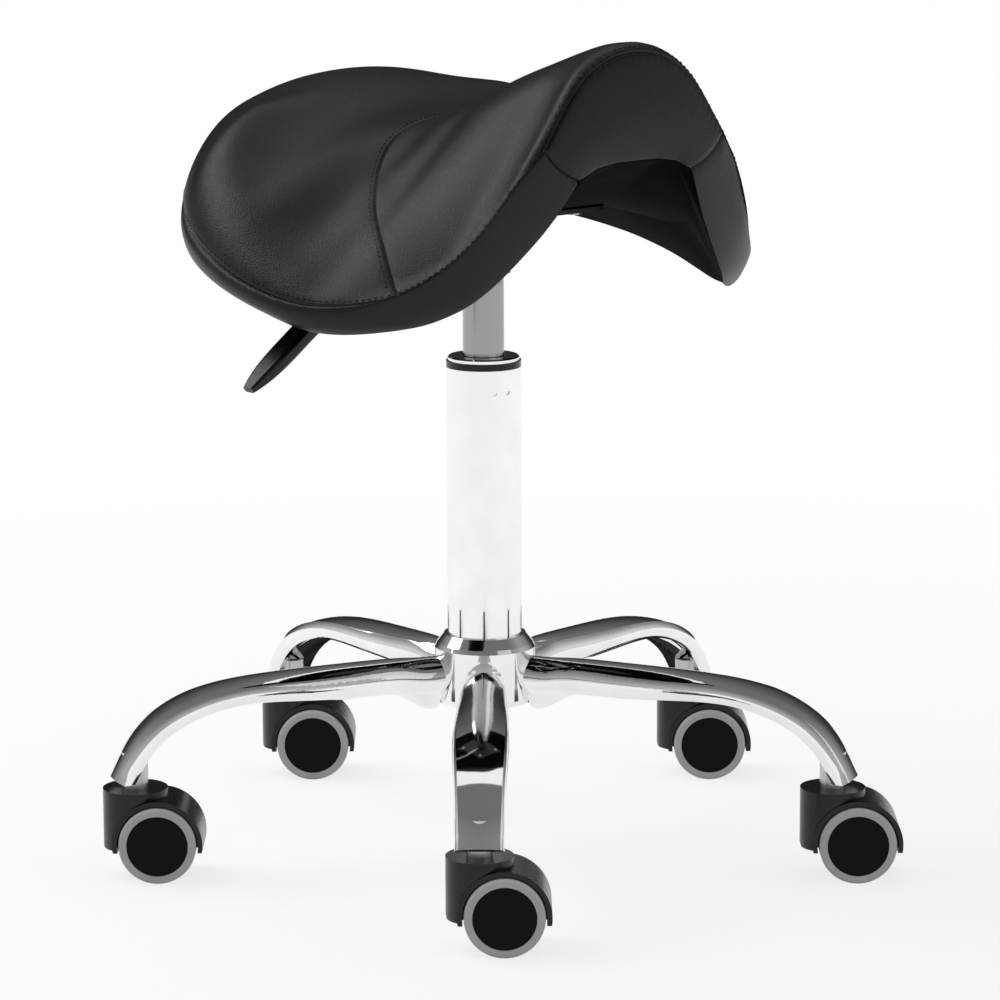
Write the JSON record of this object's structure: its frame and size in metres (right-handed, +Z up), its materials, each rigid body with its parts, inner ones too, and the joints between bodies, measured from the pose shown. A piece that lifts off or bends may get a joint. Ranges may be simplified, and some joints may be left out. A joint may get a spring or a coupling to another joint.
{
  "type": "saddle stool",
  "caption": "Height-adjustable saddle stool: padded saddle seat on a gas lift column, chrome star base with curved tube legs and twin-wheel casters, side lever under the seat.",
  "frame": {"origin": "on the column's axis at floor level", "axes": "+Z up; -Y towards the seat's pommel (the sitter's front); the lever leaves the column towards -X"},
  "size_m": [0.5322, 0.523, 0.553],
  "materials": {
    "chrome": "polished chrome plate",
    "steel": "plain drawn steel",
    "zinc": "zinc plated steel",
    "black_plate": "black powder coat",
    "black_plastic": "moulded, fine texture",
    "bushing": "moulded, smooth",
    "pale_tread": "soft pale grey tread",
    "cover": "brown-black grained cover",
    "foam": "moulded polyurethane foam",
    "shell": "moulded plywood",
    "bearing": "ground steel",
    "cap": "polished chrome plate",
    "cylinder_paint": "polished chrome plate"
  },
  "bodies": {
    "base": {"hub": "chrome", "leg_1": "chrome", "leg_2": "chrome", "leg_3": "chrome", "leg_4": "chrome", "leg_5": "chrome", "leg_sockets": "steel", "caster_stems": "steel", "column_tube": "chrome", "guide_bushing": "bushing", "cap_ring": "cap", "thrust_bearing": "bearing"},
    "lift_rod": {"piston_rod": "steel", "piston": "steel", "rod_clip": "zinc"},
    "seat": {"gas_cylinder": "cylinder_paint", "mounting_plate": "black_plate", "cone_socket": "black_plate", "lever_pivot_pin": "steel", "seat_bolts": "zinc", "seat_tee_nuts": "zinc", "seat_cover_front": "cover", "seat_cover_rear": "cover", "seat_pommel_panel": "cover", "seat_border": "cover", "seat_foam": "foam", "seat_shell": "shell"},
    "lever": {"lever_rod": "steel", "lever_handle": "black_plastic"},
    "valve": {"valve_pin": "steel"},
    "caster_1": {"caster_housing_1": "black_plastic", "caster_axle_1": "steel"},
    "wheel_1a": {"wheel_disc_1a": "black_plastic", "wheel_tread_1a": "pale_tread"},
    "wheel_1b": {"wheel_disc_1b": "black_plastic", "wheel_tread_1b": "pale_tread"},
    "caster_2": {"caster_housing_2": "black_plastic", "caster_axle_2": "steel"},
    "wheel_2a": {"wheel_disc_2a": "black_plastic", "wheel_tread_2a": "pale_tread"},
    "wheel_2b": {"wheel_disc_2b": "black_plastic", "wheel_tread_2b": "pale_tread"},
    "caster_3": {"caster_housing_3": "black_plastic", "caster_axle_3": "steel"},
    "wheel_3a": {"wheel_disc_3a": "black_plastic", "wheel_tread_3a": "pale_tread"},
    "wheel_3b": {"wheel_disc_3b": "black_plastic", "wheel_tread_3b": "pale_tread"},
    "caster_4": {"caster_housing_4": "black_plastic", "caster_axle_4": "steel"},
    "wheel_4a": {"wheel_disc_4a": "black_plastic", "wheel_tread_4a": "pale_tread"},
    "wheel_4b": {"wheel_disc_4b": "black_plastic", "wheel_tread_4b": "pale_tread"},
    "caster_5": {"caster_housing_5": "black_plastic", "caster_axle_5": "steel"},
    "wheel_5a": {"wheel_disc_5a": "black_plastic", "wheel_tread_5a": "pale_tread"},
    "wheel_5b": {"wheel_disc_5b": "black_plastic", "wheel_tread_5b": "pale_tread"}
  },
  "joints": [
    {"name": "seat_swivel", "type": "hinge", "parent": "base", "child": "lift_rod", "pos_m": [0, 0, 0.11], "axis": [0, 0, 1], "continuous": true},
    {"name": "seat_lift", "type": "slide", "parent": "lift_rod", "child": "seat", "axis": [0, 0, 1], "range_m": [0, 0.14]},
    {"name": "lever_hinge", "type": "hinge", "parent": "seat", "child": "lever", "pos_m": [-0.026, 0, 0.418], "axis": [0, 1, 0], "range_deg": [0, 6], "stiffness_Nm_per_rad": 4, "springref_deg": -5.73},
    {"name": "valve_press", "type": "slide", "parent": "seat", "child": "valve", "axis": [0, 0, -1], "range_m": [0, 0.00275]},
    {"name": "caster_1_swivel", "type": "hinge", "parent": "base", "child": "caster_1", "pos_m": [-0.16162, -0.18012, 0.05], "axis": [0, 0, 1], "continuous": true},
    {"name": "wheel_1a_spin", "type": "hinge", "parent": "caster_1", "child": "wheel_1a", "pos_m": [-0.14999, -0.19023, 0.0255], "axis": [0.6561, 0.7547, 0], "continuous": true},
    {"name": "wheel_1b_spin", "type": "hinge", "parent": "caster_1", "child": "wheel_1b", "pos_m": [-0.14999, -0.19023, 0.0255], "axis": [0.6561, 0.7547, 0], "continuous": true},
    {"name": "caster_2_swivel", "type": "hinge", "parent": "base", "child": "caster_2", "pos_m": [0.12137, -0.20937, 0.05], "axis": [0, 0, 1], "continuous": true},
    {"name": "wheel_2a_spin", "type": "hinge", "parent": "caster_2", "child": "wheel_2a", "pos_m": [0.13299, -0.21947, 0.0255], "axis": [0.6561, 0.7547, 0], "continuous": true},
    {"name": "wheel_2b_spin", "type": "hinge", "parent": "caster_2", "child": "wheel_2b", "pos_m": [0.13299, -0.21947, 0.0255], "axis": [0.6561, 0.7547, 0], "continuous": true},
    {"name": "caster_3_swivel", "type": "hinge", "parent": "base", "child": "caster_3", "pos_m": [0.23662, 0.05073, 0.05], "axis": [0, 0, 1], "continuous": true},
    {"name": "wheel_3a_spin", "type": "hinge", "parent": "caster_3", "child": "wheel_3a", "pos_m": [0.24825, 0.04062, 0.0255], "axis": [0.6561, 0.7547, 0], "continuous": true},
    {"name": "wheel_3b_spin", "type": "hinge", "parent": "caster_3", "child": "wheel_3b", "pos_m": [0.24825, 0.04062, 0.0255], "axis": [0.6561, 0.7547, 0], "continuous": true},
    {"name": "caster_4_swivel", "type": "hinge", "parent": "base", "child": "caster_4", "pos_m": [0.02488, 0.24072, 0.05], "axis": [0, 0, 1], "continuous": true},
    {"name": "wheel_4a_spin", "type": "hinge", "parent": "caster_4", "child": "wheel_4a", "pos_m": [0.0365, 0.23061, 0.0255], "axis": [0.6561, 0.7547, 0], "continuous": true},
    {"name": "wheel_4b_spin", "type": "hinge", "parent": "caster_4", "child": "wheel_4b", "pos_m": [0.0365, 0.23061, 0.0255], "axis": [0.6561, 0.7547, 0], "continuous": true},
    {"name": "caster_5_swivel", "type": "hinge", "parent": "base", "child": "caster_5", "pos_m": [-0.22125, 0.09804, 0.05], "axis": [0, 0, 1], "continuous": true},
    {"name": "wheel_5a_spin", "type": "hinge", "parent": "caster_5", "child": "wheel_5a", "pos_m": [-0.20963, 0.08794, 0.0255], "axis": [0.6561, 0.7547, 0], "continuous": true},
    {"name": "wheel_5b_spin", "type": "hinge", "parent": "caster_5", "child": "wheel_5b", "pos_m": [-0.20963, 0.08794, 0.0255], "axis": [0.6561, 0.7547, 0], "continuous": true}
  ],
  "couplings": [
    {"joint": "valve_press", "follows": "lever_hinge", "m_per_rad": 0.026}
  ]
}
